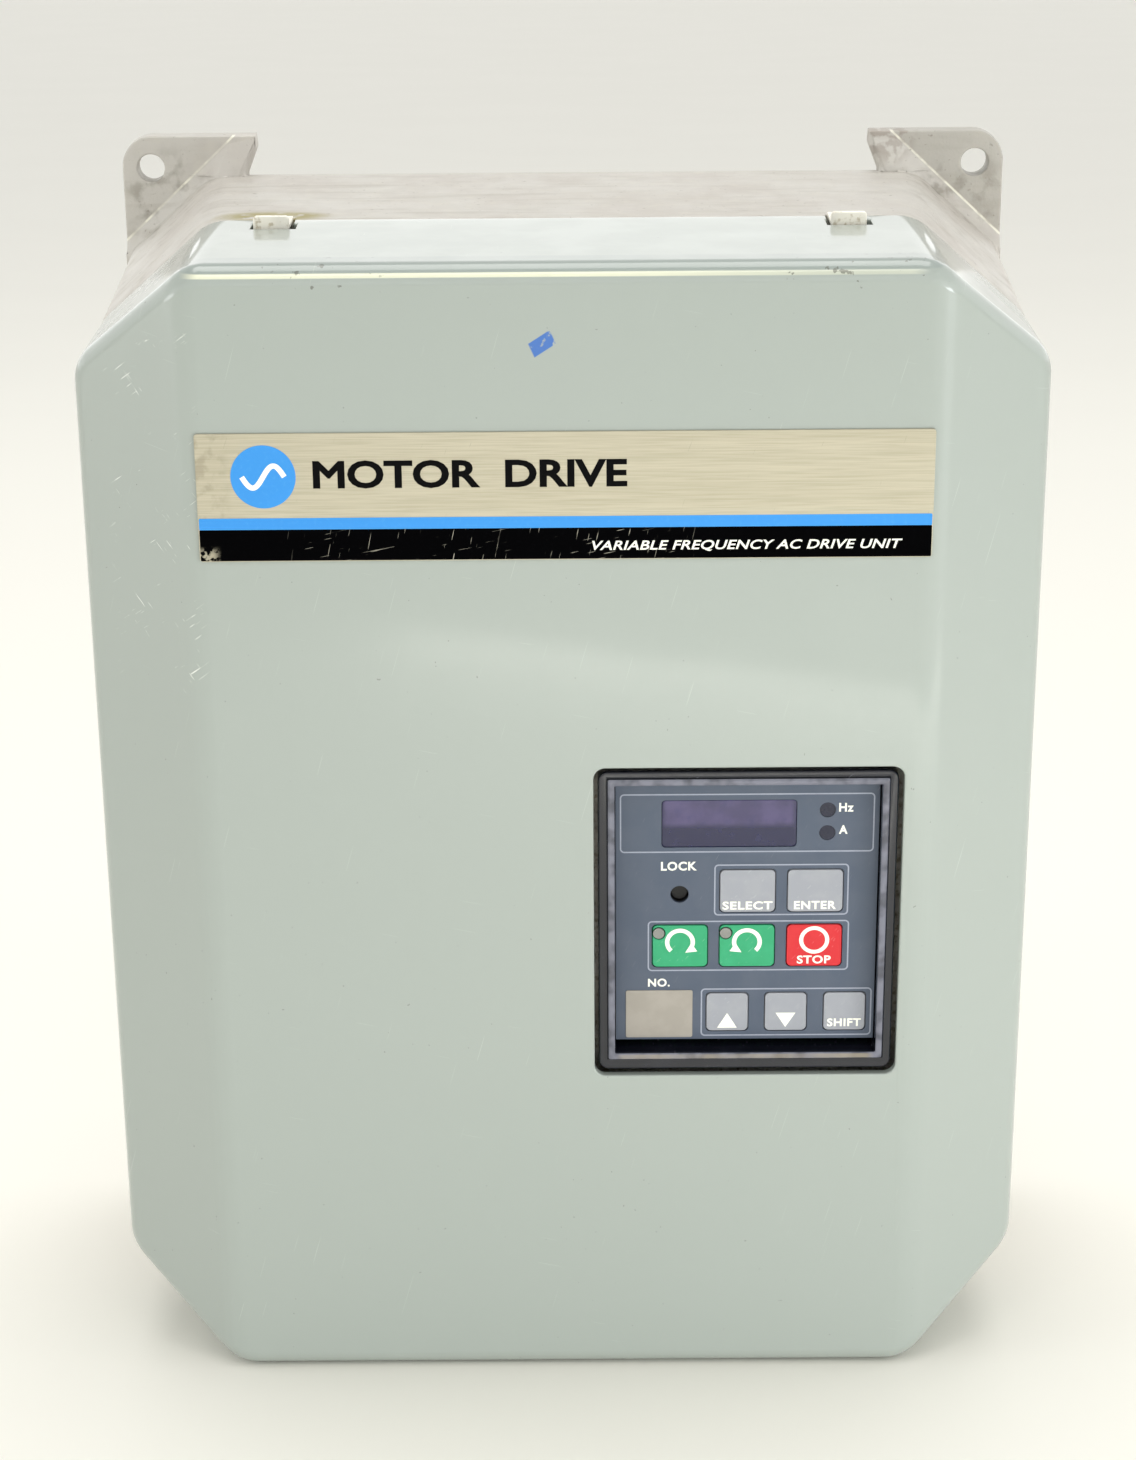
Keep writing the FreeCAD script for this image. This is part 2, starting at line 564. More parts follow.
def chassis():
    """Cast tub: floor, flared cut corners, fan duct, four ears and two clamp lugs."""
    tub = new_body("tub")
    back = outline(tub, "front", "Dims.tub_back",
                   octagon(top_x="Dims.back_corner_top_x", side_z="Dims.back_corner_side_z"))
    front = outline(tub, "front", "Dims.joint_depth", octagon())
    loft = tub.newObject("PartDesign::AdditiveLoft", "tub_loft")
    loft.Profile = back
    loft.Sections = [front]
    loft.Ruled = True
    tub.Tip = loft
    doc.recompute()
    fillet(tub, "Dims.corner_round", lambda edge: runs_along(edge, "y"))
    pocket(tub, "front", "Dims.joint_depth", "Dims.joint_depth - Dims.floor_front",
           octagon("Dims.tub_wall"))
    inner = size("Dims.half_width - Dims.tub_wall")
    fillet(tub, "Dims.cavity_round", lambda edge: runs_along(edge, "y") and all(
        abs(v.Point.x) < inner + 0.01 and abs(v.Point.z) < size("Dims.half_height - 4")
        for v in edge.Vertexes))
    pocket(tub, "front", "Dims.tub_back", "Dims.floor_back - Dims.tub_back",
           octagon("Dims.tub_wall"), along_normal=True)
    # the duct's roof slopes up and back into the floor, and its inside opens to the rear
    bottom = "-(Dims.half_height - Dims.tub_wall)"
    pad(tub, "side", "-Dims.duct_half", "2 * Dims.duct_half", (
        ("-Dims.floor_back", f"{bottom} - 1"), ("-Dims.duct_front", f"{bottom} - 1"),
        ("-Dims.duct_front", "-Dims.duct_knee"), ("-Dims.floor_front", "-Dims.duct_top"),
        ("-Dims.floor_back", "-Dims.duct_top"),
    ))
    pocket(tub, "side", "-(Dims.duct_half - Dims.duct_wall)",
           "2 * (Dims.duct_half - Dims.duct_wall)", (
               ("-Dims.tub_back + 1", bottom), ("-Dims.duct_front + Dims.duct_wall", bottom),
               ("-Dims.duct_front + Dims.duct_wall", "-Dims.duct_knee - 1.5"),
               ("-Dims.floor_back + 1", "-Dims.duct_top - 1.5"),
               ("-Dims.tub_back + 1", "-Dims.duct_top - 1.5"),
           ), along_normal=True)
    upper_right = ear("ear")
    across = mirrored(upper_right, "ear_left", FreeCAD.Vector(1, 0, 0))
    lower = [
        mirrored(source, name, FreeCAD.Vector(0, 0, 1))
        for source, name in ((upper_right, "ear_low_right"), (across, "ear_low_left"))
    ]
    lugs = []
    for side, sign in (("left", "-"), ("right", "")):
        middle = f"{sign}Dims.lug_x"
        plate = block(f"lug_{side}_plate", around(middle, "Dims.lug_half"),
                      depth("Dims.lug_front", "Dims.joint_depth - Dims.lug_back"),
                      ("-Dims.lug_low", "-Dims.lug_low + Dims.lug_thick"))
        root = block(f"lug_{side}_root", around(middle, "Dims.lug_half"),
                     depth("Dims.joint_depth - 1", "Dims.joint_depth - Dims.lug_back"),
                     (f"{bottom} - 1", "-Dims.lug_low + Dims.lug_thick"))
        slot = block(f"lug_{side}_slot", around(middle, "Dims.lug_slot"),
                     depth("Dims.lug_front + 1", "Dims.clamp_y - Dims.lug_slot"),
                     ("-Dims.lug_low - 1", "-Dims.lug_low + Dims.lug_thick + 1"))
        lugs.append(cut(f"lug_{side}", fuse(f"lug_{side}_blank", [plate, root]), [slot]))
    blank = fuse("casting_blank", [tub, upper_right, across, *lower, *lugs])
    below = "-Dims.half_height - 1"
    through = "Dims.tub_wall + 2"
    tools = [rod("inlet", "+Z", "Dims.inlet_r", through, ("0", "-Dims.fan_y", below))]
    for side, sign in (("left", "-"), ("right", "")):
        tools.append(rod(f"conduit_{side}", "+Z", "Dims.conduit_r", through,
                         (f"{sign}Dims.conduit_x", "-Dims.conduit_y", below)))
        middle = f"Dims.hook_{side}_x"
        tools.append(block(f"rim_notch_{side}", around(middle, "Dims.hook_width / 2 + Dims.rim_slack"),
                           depth("Dims.joint_depth + 1", "Dims.hook_rise_y - Dims.rim_slack"),
                           ("Dims.half_height - Dims.tub_wall - 2", "Dims.half_height + 1")))
        tools.append(rod(f"hook_thread_{side}", "+Z", "Dims.hook_thread_r", "4",
                         (middle, "-Dims.hook_hold", "Dims.half_height - Dims.tub_wall - 1")))
    for i, (x, y) in enumerate(fan_corners()):
        tools.append(rod(f"fan_thread_{i}", "+Z", "Dims.fan_hole_r", through, (x, y, below)))
    return keep(cut("casting", blank, tools), "chassis")


# ---------------------------------------------------------------- cover

def cover_form(name, inset, edge_round):
    """The cover's domed octagon, moved inwards by an inset."""
    form = new_body(name)
    front = f"(Dims.cover_front - ({inset}))"
    back = f"(Dims.cover_back - ({inset}) / 3)"
    pad(form, "front", back, f"{front} - {back}", octagon(inset))
    fillet(form, f"Dims.corner_round - ({inset})", lambda edge: runs_along(edge, "y"))
    shift = f"({inset}) * 0.3"
    tall = "Dims.half_height + 5"
    for sign in ("", "-"):
        crease = (f"{sign}(Dims.bevel_in_x - {shift})", f"-{front}")
        rim = (f"{sign}(Dims.half_width - ({inset}))", f"-{front} + Dims.bevel_drop - {shift}")
        beyond = f"{sign}(Dims.half_width + 5)"
        rise = "Dims.bevel_drop * 5 / (Dims.half_width - Dims.bevel_in_x)"
        pocket(form, "top", f"-({tall})", f"2 * ({tall})", (
            crease, rim, (beyond, f"{rim[1]} + {rise}"), (beyond, f"-{front} - 5"),
            (crease[0], f"-{front} - 5"),
        ), along_normal=True)
    front_y = -size(front)
    crease_x = size(f"Dims.bevel_in_x - {shift}")
    fillet(form, "Dims.crease_round", lambda edge: runs_along(edge, "z") and all(
        abs(abs(v.Point.x) - crease_x) < 0.5 and abs(v.Point.y - front_y) < 0.01
        for v in edge.Vertexes))
    back_y = -size(back)

    def on_front_edge(edge):
        """Edges between the domed front and the walls that run back from it."""
        box = edge.BoundBox
        if box.YMax > back_y - 5 or runs_along(edge, "y"):
            return False
        at_top = box.ZMin > size("Dims.corner_side_z") - 12 or box.ZMax < -size("Dims.corner_side_z") + 12
        at_side = min(abs(box.XMin), abs(box.XMax)) > size("Dims.half_width") - size(inset) - 0.5
        return at_top or at_side

    fillet(form, edge_round, on_front_edge)
    return form


def hook_notches(name):
    """Tools that clear the cover's rear rim around the two hooks, wider around their tips."""
    half = "Dims.hook_width / 2"
    up = ("Dims.half_height - Dims.tub_wall - 2", "Dims.half_height + 1")
    tools = []
    for side in ("left", "right"):
        middle = f"Dims.hook_{side}_x"
        tools.append(block(f"{name}_notch_{side}", around(middle, f"{half} + Dims.notch_gap"),
                           depth("Dims.notch_step + 1", "Dims.cover_back - 5"), up))
        tools.append(block(f"{name}_notch_wide_{side}",
                           (f"{middle} - {half} - Dims.notch_left_gap",
                            f"{middle} + {half} + Dims.notch_right_gap"),
                           depth("Dims.notch_front", "Dims.notch_step"), up))
    return tools


def front_cover():
    outside = cover_form("cover_outside", "0", "Dims.cover_edge_round")
    inside = cover_form("cover_inside", "Dims.cover_wall", "Dims.cover_edge_round - Dims.cover_wall")
    window = rounded_plate("window", ("Dims.window_left", "Dims.window_right"),
                           ("Dims.window_low", "Dims.window_high"), "Dims.cover_front + 5", "20",
                           "Dims.window_round")
    tools = [inside, window, *hook_notches("cover")]
    for side, sign in (("left", "-"), ("right", "")):
        tools.append(rod(f"clamp_hole_{side}", "+Z", "Dims.clamp_hole_r", "Dims.cover_wall + 4",
                         (f"{sign}Dims.lug_x", "-Dims.clamp_y", "-Dims.half_height - 2")))
    keep(cut("cover", outside, tools), "front_cover")


def cover_gasket():
    """Foam strip inside the cover's rear rim, interrupted at the hooks."""
    outer = new_body("gasket_outer")
    pad(outer, "front", "Dims.cover_back + 0.2", "Dims.gasket_tall", octagon("Dims.cover_wall + 0.1"))
    fillet(outer, "Dims.corner_round - Dims.cover_wall", lambda edge: runs_along(edge, "y"))
    pocket(outer, "front", "Dims.cover_back + 5", "8", octagon("Dims.cover_wall + 2"))
    keep(cut("gasket", outer, hook_notches("gasket")), "cover_gasket")


def nameplate():
    plate = rounded_plate("name_blank", ("Dims.plate_left", "Dims.plate_right"),
                          ("Dims.plate_low", "Dims.plate_high"),
                          "Dims.cover_front + Dims.plate_thick", "Dims.plate_thick", "1")
    keep(plate, "nameplate")


def cover_clamps():
    """Captive screws in the cover's bottom wall, with a nut above each lug."""
    screws = []
    for side, sign in (("left", "-"), ("right", "")):
        x = f"{sign}Dims.lug_x"
        body = screw(f"clamp_{side}", "Dims.clamp_r", "Dims.clamp_long",
                      "Dims.clamp_head_r", "Dims.clamp_head",
                     (x, "-Dims.clamp_y", "-Dims.half_height"))
        nut = rod(f"clamp_nut_{side}", "+Z", "Dims.clamp_nut_r", "Dims.clamp_nut",
                  (x, "-Dims.clamp_y", "-Dims.lug_low + Dims.lug_thick + Dims.clamp_nut_gap"))
        keeper = rod(f"clamp_keeper_{side}", "+Z", "Dims.clamp_keeper_r", "Dims.clamp_keeper",
                     (x, "-Dims.clamp_y", "-Dims.half_height + Dims.cover_wall + Dims.hook_slack"))
        screws.append(fuse(f"clamp_set_{side}", [body, nut, keeper]))
    keep(group("clamps", screws), "cover_clamp_screws")


# ---------------------------------------------------------------- hooks and casting hardware

def cover_hooks():
    """Steel straps that come up through the rim, lie in the cover's notches and end in a tip."""
    straps = []
    fixings = []
    seat = "Dims.half_height - Dims.tub_wall - Dims.hook_slack"
    top = "Dims.half_height + Dims.hook_proud"
    tip = "Dims.half_height + Dims.hook_tip"
    for side in ("left", "right"):
        middle = f"Dims.hook_{side}_x"
        strap = new_body(f"hook_{side}")
        thick = "Dims.hook_thick"
        back = "-Dims.hook_tail"
        rise = "-Dims.hook_rise_y"
        front = "-Dims.hook_front"
        pad(strap, "side", f"{middle} - Dims.hook_width / 2", "Dims.hook_width", (
            (back, f"{seat} - {thick}"), (f"{rise} - {thick}", f"{seat} - {thick}"),
            (f"{rise} - {thick}", f"{top} - {thick}"), (front, f"{top} - {thick}"),
            (front, tip), (f"{front} + {thick}", tip), (f"{front} + {thick}", top), (rise, top),
            (rise, seat), (back, seat),
        ))
        tip_level = size(tip)
        fillet(strap, "Dims.hook_tip_round", lambda edge: runs_along(edge, "y") and all(
            abs(v.Point.z - tip_level) < 0.01 for v in edge.Vertexes))
        bend = FreeCAD.Vector(0, size(rise), size(top))
        fillet(strap, "Dims.hook_bend_round", lambda edge: runs_along(edge, "x") and all(
            abs(v.Point.y - bend.y) + abs(v.Point.z - bend.z) < 0.01 for v in edge.Vertexes))
        hole = rod(f"hook_hole_{side}", "+Z", "Dims.hook_hole_r", f"2 * {thick}",
                   (middle, "-Dims.hook_hold", f"{seat} - 1.5 * {thick}"))
        straps.append(cut(f"hook_cut_{side}", strap, [hole]))
        fixings.append(screw(f"hook_screw_{side}", "Dims.hook_screw_r", "Dims.hook_screw_long",
                             "Dims.hook_screw_head_r", "Dims.hook_screw_head",
                             (middle, "-Dims.hook_hold", f"{seat} - {thick} - Dims.hook_slack")))
    keep(group("hooks", straps), "cover_hooks")
    keep(group("hook_fixings", fixings), "hook_screws")


def heat_sink():
    plate = block("sink_plate", around("0", "Dims.sink_half"),
                  depth("Dims.floor_back - 0.05", "Dims.floor_back - Dims.sink_plate"),
                  ("-Dims.sink_low", "Dims.sink_top"))
    first = block("first_fin",
                  ("-Dims.sink_half", "-Dims.sink_half + Dims.fin_thick"),
                  depth("Dims.floor_back - Dims.sink_plate + 0.5", "Dims.fin_back"),
                  ("-Dims.sink_low", "Dims.sink_top"))
    fins = [first]
    count = int(size("(2 * Dims.sink_half - Dims.fin_thick) / Dims.fin_pitch"))
    for number in range(1, count + 1):
        left = f"-Dims.sink_half + {number} * Dims.fin_pitch"
        fins.append(block(f"fin_{number}", (left, f"{left} + Dims.fin_thick"),
                          depth("Dims.floor_back - Dims.sink_plate + 0.5", "Dims.fin_back"),
                          ("-Dims.sink_low", "Dims.sink_top")))
    keep(fuse("sink", [plate, *fins]), "heat_sink")


def conduit_plug():
    """Blanking plug in the right conduit entry: a flange outside and a snapped skirt inside."""
    at = ("Dims.conduit_x", "-Dims.conduit_y")
    flange = cone("plug_flange", "-Z", "Dims.plug_flange_r", "Dims.plug_flange_r - 1.2", "2.2",
                  (*at, "-Dims.half_height - 0.02"))
    skirt = rod("plug_skirt", "+Z", "Dims.conduit_r - 0.1", "Dims.tub_wall + 1.5",
                (*at, "-Dims.half_height - 0.02"))
    hollow = rod("plug_hollow", "+Z", "Dims.conduit_r - 1.8", "Dims.tub_wall + 3",
                 (*at, "-Dims.half_height + 0.5"))
    keep(cut("plug", fuse("plug_blank", [flange, skirt]), [hollow]), "conduit_plug")


# ---------------------------------------------------------------- fan

def fan_frame():
    low, high = "-Dims.fan_low", "-Dims.fan_low + Dims.fan_thick"
    shell = block("fan_shell", around("0", "Dims.fan_half"), around("-Dims.fan_y", "Dims.fan_half"),
                  (low, high))
    bore = rod("fan_bore", "+Z", "Dims.fan_bore_r", "Dims.fan_thick + 2",
               ("0", "-Dims.fan_y", f"{low} - 1"))
    holes = [rod(f"fan_hole_{i}", "+Z", "Dims.fan_hole_r", "Dims.fan_thick + 2",
                 (x, y, f"{low} - 1")) for i, (x, y) in enumerate(fan_corners())]
    ring = cut("fan_ring", shell, [bore, *holes])
    base = rod("fan_motor_base", "-Z", "Dims.fan_hub_r", "Dims.fan_spoke_tall + 1",
               ("0", "-Dims.fan_y", high))
    spokes = []
    for number in range(3):
        spoke = doc.addObject("Part::Box", f"fan_spoke_{number}")
        spoke.setExpression("Length", "Dims.fan_bore_r + 1")
        spoke.setExpression("Width", "Dims.fan_spoke_wide")
        spoke.setExpression("Height", "Dims.fan_spoke_tall")
        turn = FreeCAD.Rotation(FreeCAD.Vector(0, 0, 1), 90 + 120 * number)
        side = turn.multVec(FreeCAD.Vector(0, -size("Dims.fan_spoke_wide / 2"), 0))
        spoke.Placement = FreeCAD.Placement(side, turn)
        spoke.setExpression("Placement.Base.y", f"-Dims.fan_y + {side.y:.4f}")
        spoke.setExpression("Placement.Base.z", f"{high} - Dims.fan_spoke_tall")
        spokes.append(spoke)
    bush = rod("fan_bush", "-Z", "Dims.fan_bush_r + 2", "Dims.fan_bush_long", ("0", "-Dims.fan_y", high))
    bush_hole = rod("fan_bush_hole", "-Z", "Dims.fan_bush_r", "Dims.fan_bush_long + 2",
                    ("0", "-Dims.fan_y", f"{high} + 1"))
    keep(cut("fan_housing", fuse("fan_blank", [ring, base, bush, *spokes]), [bush_hole]), "fan_frame")


def fan_rotor():
    """Cup-shaped hub, seven pitched blades and the shaft that runs in the frame's bush."""
    low = "-Dims.fan_low + Dims.blade_low"
    at = ("0", "-Dims.fan_y")
    cup = rod("hub_cup", "+Z", "Dims.fan_hub_r", "Dims.hub_tall", (*at, low))
    hollow = rod("hub_hollow", "+Z", "Dims.fan_hub_r - Dims.hub_wall", "Dims.hub_tall",
                 (*at, f"{low} + 2"))
    shaft = rod("rotor_shaft", "+Z", "Dims.fan_shaft_r", "Dims.hub_tall + 0.8", (*at, f"{low} + 1"))
    blades = []
    count = 7
    for number in range(count):
        blade = doc.addObject("Part::Box", f"blade_{number}")
        blade.setExpression("Length", "Dims.fan_blade_r - Dims.fan_hub_r + 0.6")
        blade.setExpression("Width", "Dims.blade_thick")
        blade.setExpression("Height", "Dims.blade_chord")
        pitch = FreeCAD.Rotation(FreeCAD.Vector(1, 0, 0), 42)
        turn = FreeCAD.Rotation(FreeCAD.Vector(0, 0, 1), 360 / count * number)
        start = turn.multVec(FreeCAD.Vector(size("Dims.fan_hub_r - 0.9"), size("Dims.blade_chord") / 3, 0))
        blade.Placement = FreeCAD.Placement(start, turn.multiply(pitch))
        blade.setExpression("Placement.Base.y", f"-Dims.fan_y + {start.y:.4f}")
        blade.setExpression("Placement.Base.z", f"{low} + 1.5")
        blades.append(blade)
    reach = rod("blade_reach", "+Z", "Dims.fan_blade_r", "Dims.hub_tall - 0.2", (*at, low))
    swept = doc.addObject("Part::MultiCommon", "blade_common")
    swept.Shapes = [fuse("blade_set", blades), reach]
    keep(fuse("rotor", [cut("hub", cup, [hollow]), shaft, swept]), "fan_rotor")


def fan_guard():
    """Finger guard of round wire rings on four ribs, under the air inlet."""
    level = "-Dims.half_height - Dims.guard_wire_r - 0.05"
    pieces = []
    for number in range(1, 5):
        ring = doc.addObject("Part::Torus", f"guard_ring_{number}")
        ring.setExpression("Radius1", f"{number} * Dims.guard_ring_step")
        ring.setExpression("Radius2", "Dims.guard_wire_r")
        ring.setExpression("Placement.Base.y", "-Dims.fan_y")
        ring.setExpression("Placement.Base.z", level)
        pieces.append(ring)
    inner = size("Dims.guard_ring_step")
    for number, (x, y) in enumerate(fan_corners()):
        rib = doc.addObject("Part::Cylinder", f"guard_rib_{number}")
        away = FreeCAD.Vector(size(x), size(f"{y} + Dims.fan_y"), 0).normalize()
        rib.Placement = FreeCAD.Placement(away * inner, FreeCAD.Rotation(FreeCAD.Vector(0, 0, 1), away))
        rib.setExpression("Radius", "Dims.guard_rib_r")
        rib.setExpression("Height", "sqrt(2) * Dims.fan_hole_pitch - Dims.guard_ring_step - 2.8")
        rib.setExpression("Placement.Base.y", f"-Dims.fan_y + {away.y * inner:.4f}")
        rib.setExpression("Placement.Base.z", level)
        eye = rod(f"guard_eye_{number}", "-Z", "Dims.guard_eye_r", "2 * Dims.guard_wire_r",
                  (x, y, "-Dims.half_height - 0.05"))
        hole = rod(f"guard_hole_{number}", "-Z", "Dims.fan_hole_r", "4", (x, y, "-Dims.half_height + 1"))
        pieces += [rib, cut(f"guard_loop_{number}", eye, [hole])]
    keep(fuse("guard", pieces), "fan_guard")
    keep(group("fan_fixings", [
        screw(f"fan_screw_{i}", "Dims.fan_screw_r", "22", "3.8", "2.4", (x, y, "-Dims.half_height - 1.7"))
        for i, (x, y) in enumerate(fan_corners())
    ]), "fan_screws")


# ---------------------------------------------------------------- operator panel

KEYS = (
    ("select_key", "Dims.column_middle", "Dims.row_select", "large"),
    ("enter_key", "Dims.column_right", "Dims.row_select", "large"),
    ("forward_key", "Dims.column_left", "Dims.row_run", "large"),
    ("reverse_key", "Dims.column_middle", "Dims.row_run", "large"),
    ("stop_key", "Dims.column_right", "Dims.row_run", "large"),
    ("up_key", "Dims.arrow_up_x", "Dims.row_arrow", "small"),
    ("down_key", "Dims.arrow_down_x", "Dims.row_arrow", "small"),
    ("shift_key", "Dims.arrow_shift_x", "Dims.row_arrow", "small"),
)
RUN_KEYS = ("forward_key", "reverse_key")
LINK_SLOT = ("-50", "-40")      # lower and upper edge of the slots that the board link passes
KEY_HALVES = {
    "large": ("Dims.key_wide / 2", "Dims.key_tall / 2"),
    "small": ("Dims.key_small / 2", "Dims.key_small / 2"),
}


def key_rectangle(x, z, kind, extra):
    half_x, half_z = KEY_HALVES[kind]
    return around(x, f"{half_x} + {extra}"), around(z, f"{half_z} + {extra}")


def run_lamp(x, z):
    return f"({x}) + Dims.run_led_dx", f"({z}) + Dims.run_led_dz"


def keys():
    """Each key: a rounded cap, a brim behind the face and a stem that meets its switch."""
    for name, x, z, kind in KEYS:
        across, up = key_rectangle(x, z, kind, "0")
        cap = new_body(f"{name}_cap")
        pad(cap, "front", "Dims.face_front - Dims.face_thick - 0.6",
            "Dims.face_thick + 0.6 + Dims.key_proud", rectangle(across, up))
        fillet(cap, "Dims.key_round", lambda edge: runs_along(edge, "y"))
        top = -size("Dims.face_front + Dims.key_proud")
        fillet(cap, "Dims.key_edge", lambda edge: edge.BoundBox.YMax < top + 0.01)
        across, up = key_rectangle(x, z, kind, "Dims.key_brim")
        behind = "Dims.face_front - Dims.face_thick - 0.6"
        brim = block(f"{name}_brim", across, depth(behind, f"{behind} - 0.8"), up)
        stem = rod(f"{name}_stem", "+Y", "Dims.key_stem_r", f"{behind} - Dims.key_reach",
                   (x, f"-({behind})", z))
        whole = fuse(f"{name}_whole", [cap, brim, stem])
        if name in RUN_KEYS:
            lamp_x, lamp_z = run_lamp(x, z)
            whole = cut(f"{name}_notched", whole, [
                rod(f"{name}_notch", "+Y", "Dims.run_led_r + 0.3", "6",
                    (lamp_x, "-Dims.face_front - 2", lamp_z))])
        keep(whole, name)


def openings(name, front, extra, lamp_extra):
    """Tools that cut the key, display, lamp and lock openings through a plate."""
    tools = []
    for key, x, z, kind in KEYS:
        across, up = key_rectangle(x, z, kind, extra)
        tools.append(rounded_plate(f"{name}_{key}", across, up, front, "8", "Dims.key_round"))
    tools.append(rounded_plate(f"{name}_display",
                               around("Dims.display_x", "Dims.display_wide / 2 + 0.05"),
                               around("Dims.display_z", "Dims.display_tall / 2 + 0.05"),
                               front, "8", "1.2"))
    for level in ("high", "low"):
        tools.append(rod(f"{name}_led_{level}", "+Y", f"Dims.led_r + {lamp_extra}", "8",
                         ("Dims.led_x", f"-({front})", f"Dims.led_{level}_z")))
    tools.append(rod(f"{name}_lock", "+Y", "Dims.lock_r", "8",
                     ("Dims.lock_x", f"-({front})", "Dims.lock_z")))
    return tools


def panel_face():
    face = block("face_blank", ("Dims.face_left", "Dims.face_right"),
                 depth("Dims.face_front", "Dims.face_front - Dims.face_thick"),
                 ("Dims.face_low", "Dims.face_high"))
    keep(cut("face", face, openings("face", "Dims.face_front + 2", "Dims.key_gap", "0.1")),
         "panel_overlay")
    back = "Dims.face_front - Dims.face_thick - 0.05"
    frame = block("key_frame_blank", ("Dims.face_left", "Dims.face_right"),
                  depth(back, "Dims.frame_back"), ("Dims.face_low", "Dims.face_high"))
    keep(cut("key_guide", frame, openings("guide", f"{back} + 1", "Dims.key_brim + 0.6", "0.1")),
         "key_frame")


def panel_bezel():
    """Glossy picture frame: flat flange, raised inner ridge and walls that run back."""
    bezel = new_body("bezel")
    outer = rectangle(("Dims.bezel_left", "Dims.bezel_right"), ("Dims.bezel_low", "Dims.bezel_high"))
    well = rectangle(("Dims.well_left", "Dims.well_right"), ("Dims.well_low", "Dims.well_high"))
    ridge = rectangle(("Dims.well_left - Dims.ridge_wide", "Dims.well_right + Dims.ridge_wide"),
                      ("Dims.well_low - Dims.ridge_wide", "Dims.well_high + Dims.ridge_wide"))
    pad(bezel, "front", "Dims.bezel_back", "Dims.bezel_front - Dims.bezel_back", outer)
    fillet(bezel, "Dims.bezel_round", lambda edge: runs_along(edge, "y"))
    pad(bezel, "front", "Dims.bezel_front - 1", "Dims.ridge_front - Dims.bezel_front + 1", ridge)
    top = -size("Dims.ridge_front")
    fillet(bezel, "1.0", lambda edge: edge.BoundBox.YMax < top + 0.01)
    front = -size("Dims.bezel_front")
    edge_x = size("Dims.bezel_left") + 0.6
    fillet(bezel, "0.7", lambda edge: edge.BoundBox.YMax < front + 0.01
           and edge.BoundBox.YMin > front - 0.01 and not runs_along(edge, "y")
           and (edge.BoundBox.XMin < edge_x or edge.BoundBox.XMax > size("Dims.bezel_right") - 0.6
                or edge.BoundBox.ZMin < size("Dims.bezel_low") + 0.6
                or edge.BoundBox.ZMax > size("Dims.bezel_high") - 0.6))
    pocket(bezel, "front", "Dims.ridge_front + 1", "Dims.ridge_front - Dims.bezel_back + 3", well)
    keep(bezel, "panel_bezel")
    tray = block("tray_plate", ("Dims.bezel_left", "Dims.bezel_right"),
                 depth("Dims.bezel_back - 0.05", "Dims.bracket_front + 0.05"),
                 ("Dims.bezel_low", "Dims.bezel_high"))
    slot = block("tray_slot", around("Dims.display_x", "22"),
                 depth("Dims.bezel_back + 1", "Dims.bracket_front - 1"), LINK_SLOT)
    keep(cut("tray", tray, [slot]), "panel_back_plate")


def display():
    window = rounded_plate("lens", around("Dims.display_x", "Dims.display_wide / 2"),
                           around("Dims.display_z", "Dims.display_tall / 2"),
                           "Dims.face_front - 0.1", "0.9", "1.2")
    keep(window, "display_window")
    block_half_x = "Dims.display_wide / 2 - Dims.digit_inset"
    block_half_z = "Dims.display_tall / 2 - Dims.digit_inset"
    case = block("digit_case", around("Dims.display_x", block_half_x),
                 depth("Dims.face_front - Dims.face_thick - 0.2", "Dims.board_front"),
                 around("Dims.display_z", block_half_z))
    keep(case, "display_module")


def lamps():
    lit = []
    for level in ("high", "low"):
        z = f"Dims.led_{level}_z"
        lit.append(rod(f"unit_lamp_{level}", "+Y", "Dims.led_r", "Dims.face_front - Dims.board_front - 0.2",
                       ("Dims.led_x", "-Dims.face_front + 0.2", z)))
    keep(group("unit_lamps", lit), "unit_lamps")
    run = []
    for name, x, z, _ in KEYS:
        if name in RUN_KEYS:
            lamp_x, lamp_z = run_lamp(x, z)
            run.append(rod(f"{name}_lamp", "+Y", "Dims.run_led_r",
                           "Dims.face_front - Dims.board_front + Dims.key_proud",
                           (lamp_x, "-Dims.face_front - Dims.key_proud", lamp_z)))
    keep(group("run_lamps", run), "run_lamps")


def lock():
    """Spring-loaded plunger at the bottom of the lock opening."""
    plunger = rod("plunger", "+Y", "Dims.lock_plunger_r", "3.9",
                  ("Dims.lock_x", "-Dims.face_front + 2", "Dims.lock_z"))
    keep(plunger, "lock_plunger")


